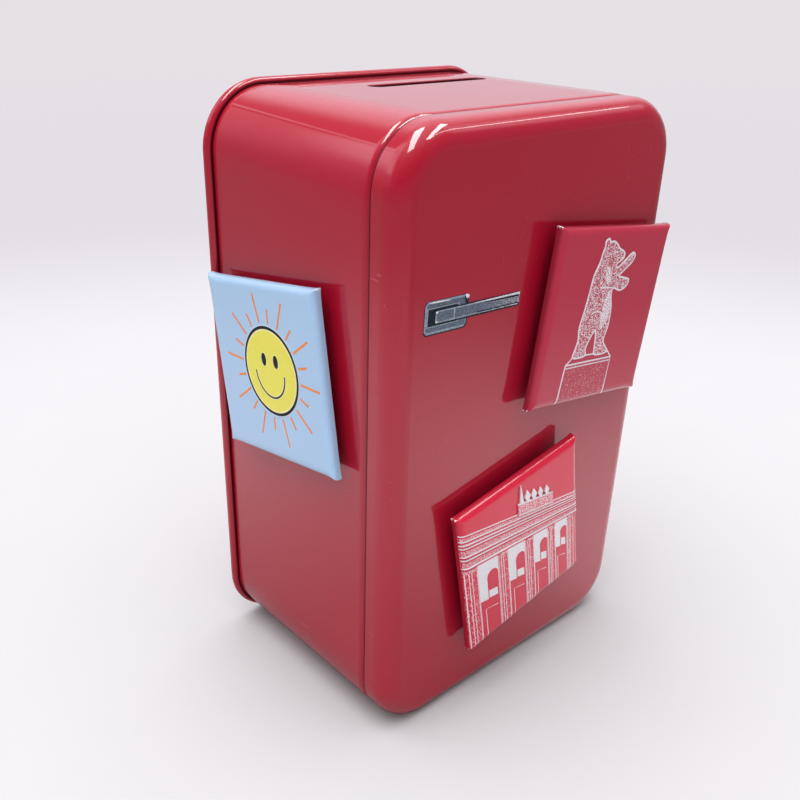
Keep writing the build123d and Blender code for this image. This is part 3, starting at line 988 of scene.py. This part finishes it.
# The same paper near the camera and, as painted shade, darker far from it; the near one's two values are its
# mottle
NEAR_PAPER = ((0.475, 0.466, 0.475), (0.49, 0.482, 0.49))
FAR_SHADED_PAPER = (0.40, 0.381, 0.40)
LAMP_TINT = (0.98, 0.98, 1.0)
MIRRORED_TINT = (1.06, 0.96, 1.05)


def floor_height(y):
    return (BOX_FRONT_FOOT - y) * FLOOR_SLOPE


def floor_material():
    """Pale paper that fades into the wall. Painted light: the lacquer mirrors it bright near the box and dim far
    away.
    """
    recipe = Recipe("floor_paper")
    place = recipe.vector("MULTIPLY", recipe.place(), (1, 1, 0))
    away = recipe.vector("DISTANCE", place, (*CAMERA_SIDE, 0), "Value")
    # Painted shade: the paper darkens away from the camera
    far = recipe.ramp(away, 0.42, 0.74)
    near_paper = recipe.mix(recipe.noise(0.05, 4.0), *NEAR_PAPER)
    paper = recipe.mix(far, near_paper, FAR_SHADED_PAPER)
    reach = recipe.vector("LENGTH", place, output="Value")
    # Painted light for glossy rays only: on the right, a bright pool near the box that dims far away
    on_right = recipe.ramp(recipe.axis(place, "X"), -0.03, 0.07)
    right_painted_light = recipe.math("MULTIPLY", on_right, recipe.ramp(reach, 0.09, 0.36, 1.35, 0.28))
    # On the left, painted shade right by the box, brighter a little further out, and dim far away
    near_box_shade, falling = recipe.ramp(reach, 0.05, 0.16, 0.48, 1.0), recipe.ramp(reach, 0.2, 0.5, 1.0, 0.4)
    left_painted_light = recipe.math("MULTIPLY", near_box_shade, falling)
    left_painted_light = recipe.math("MULTIPLY", recipe.math("SUBTRACT", 1.0, on_right), left_painted_light)
    mirrored = recipe.tint(recipe.math("ADD", left_painted_light, right_painted_light), paper)
    glossy_ray = recipe.node("ShaderNodeLightPath", {}, "Is Glossy Ray")
    haze = recipe.ramp(reach, 0.5, 2.2)
    return recipe.finish(
        Base_Color=recipe.mix(haze, recipe.mix(glossy_ray, paper, mirrored), (0, 0, 0)),
        Emission_Color=(*WALL, 1.0),
        Emission_Strength=recipe.math("MULTIPLY", haze, recipe.ramp(glossy_ray, 0.0, 1.0, 1.0, 0.35)),
        Roughness=0.9,
        Specular_IOR_Level=recipe.ramp(haze, 0.0, 1.0, 0.15, 0.0),
        Normal=recipe.bump(recipe.noise(0.004, 3.0), 0.0001),
    )


def make_floor():
    size = FLOOR_REACH
    corners = [(-size, -size), (size, -size), (size, size), (-size, size)]
    mesh = bpy.data.meshes.new("floor")
    mesh.from_pydata([(x, y, floor_height(y)) for x, y in corners], [], [(0, 1, 2, 3)])
    floor = bpy.data.objects.new("floor", mesh)
    bpy.context.scene.collection.objects.link(floor)
    mesh.materials.append(floor_material())


def make_world():
    """A white tent, open at the front: its light, and another pattern that only the lacquer mirrors."""
    world = bpy.data.worlds.new("studio")
    bpy.context.scene.world = world
    recipe = Recipe("studio", world)
    direction = recipe.place("Generated")
    x, y, z = (recipe.axis(direction, which) for which in "XYZ")

    def all_of(brightness, *steps):
        """That brightness where every step is 1."""
        for step in steps:
            brightness = recipe.math("MULTIPLY", step, brightness)
        return brightness

    towards = recipe.math("MAXIMUM", recipe.vector("DOT_PRODUCT", direction, LAMP_SIDE, "Value"), 0.0)
    lobe = recipe.math("POWER", towards, LAMP_FOCUS)
    tent = recipe.math("ADD", all_of(LAMP_BRIGHTNESS, lobe), TENT_GLOW)

    seam = recipe.vector("DOT_PRODUCT", direction, TENT_SEAM, "Value")
    closed = recipe.ramp(y, -0.1, 0.4)
    panels = (
        # The right side behind the box, and the left side, each dimmer towards the floor.
        all_of(1.0, closed, recipe.ramp(x, -0.02, 0.3), recipe.ramp(z, 0.1, 0.5, 0.5, 0.85)),
        all_of(1.0, closed, recipe.ramp(seam, 0.0, -0.01), recipe.ramp(z, 0.02, 0.35, 0.06, 0.38)),
        # A bright patch high up behind on the left, and one high up on the right.
        all_of(
            1.4, recipe.ramp(y, 0.82, 0.74), recipe.ramp(y, 0.1, 0.4), recipe.ramp(x, -0.2, -0.32),
            recipe.ramp(z, 0.28, 0.5),
        ),
        all_of(
            1.0, recipe.ramp(x, 0.5, 0.7), recipe.ramp(z, 0.4, 0.55), recipe.ramp(y, 0.02, -0.15),
            recipe.ramp(y, -0.5, -0.35),
        ),
        # The bright seam.
        all_of(0.5, closed, recipe.ramp(seam, 0.0, -0.01), recipe.ramp(seam, -0.03, -0.02)),
        # Dimmer in front on the left, where the tent is open.
        all_of(-0.12, recipe.ramp(y, -0.1, -0.4), recipe.ramp(z, 0.05, 0.3), recipe.ramp(x, 0.3, 0.1)),
        # The seam's shadow.
        all_of(-0.5, closed, recipe.ramp(seam, -0.03, -0.035), recipe.ramp(seam, -0.055, -0.045)),
    )
    mirrored = MIRRORED_GLOW
    for panel in panels:
        mirrored = recipe.math("ADD", panel, mirrored)

    glossy_ray = recipe.node("ShaderNodeLightPath", {}, "Is Glossy Ray")
    light = recipe.mix(glossy_ray, recipe.tint(tent, LAMP_TINT), recipe.tint(mirrored, MIRRORED_TINT))
    seen = recipe.node("ShaderNodeLightPath", {}, "Is Camera Ray")
    recipe.finish(Color=recipe.mix(seen, light, WALL))


def strip_light(name, start, end, width, radiance):
    """A tube on the tent's ceiling, facing down, that only the lacquer mirrors.

    Its ends are in steps of CEILING from above the door's top corner.
    """
    start, end = Vector(start) * CEILING, Vector(end) * CEILING
    lamp = bpy.data.lights.new(name, "AREA")
    lamp.shape = "RECTANGLE"
    lamp.size, lamp.size_y = (end - start).length, width
    lamp.energy = radiance * math.pi * lamp.size * lamp.size_y
    holder = bpy.data.objects.new(name, lamp)
    holder.visible_diffuse = False
    bpy.context.scene.collection.objects.link(holder)
    middle = (start + end) / 2
    holder.location = Vector((SHELL_LOW.x, DOOR_FACE_Y, SHELL_HIGH.z)) + Vector((middle.x, middle.y, CEILING))
    holder.rotation_euler = (0, 0, math.atan2(end.y - start.y, end.x - start.x))


make_floor()
make_world()
strip_light("left_strip", (-0.45, -0.30), (0.21, 0.47), 0.17, 14.0)
strip_light("right_strip", (0.16, -0.56), (0.80, 0.14), 0.12, 16.0)
strip_light("front_strip", (0.23, -0.61), (1.60, -0.24), 0.035, 9.0)

# ==== Camera ====
VIEW_AZIMUTH = -42.48  # degrees, as for the next two
VIEW_ELEVATION = 26.49
VIEW_ROLL = 1.65
VIEW_DISTANCE = 0.2417
AIM_FROM_MIDDLE = Vector((-0.0086, 0.0012, -0.0099))
LENS = 40.36  # for a sensor 36 mm wide
SHIFT = (0.0048, 0.0215)


def make_camera():
    camera = bpy.data.cameras.new("camera")
    camera.lens = LENS
    camera.sensor_width = 36.0
    camera.shift_x, camera.shift_y = SHIFT
    camera.clip_start = 0.01
    holder = bpy.data.objects.new("camera", camera)
    bpy.context.scene.collection.objects.link(holder)
    azimuth, elevation = math.radians(VIEW_AZIMUTH), math.radians(VIEW_ELEVATION)
    back = Vector((
        math.sin(azimuth) * math.cos(elevation), -math.cos(azimuth) * math.cos(elevation), math.sin(elevation)
    ))
    holder.location = CAVITY + AIM_FROM_MIDDLE + back * VIEW_DISTANCE
    holder.rotation_mode = "QUATERNION"
    level_view = (-back).to_track_quat("-Z", "Y")
    holder.rotation_quaternion = level_view @ Quaternion((0, 0, 1), math.radians(VIEW_ROLL))
    bpy.context.scene.camera = holder


make_camera()
bpy.context.scene.view_settings.view_transform = "Standard"
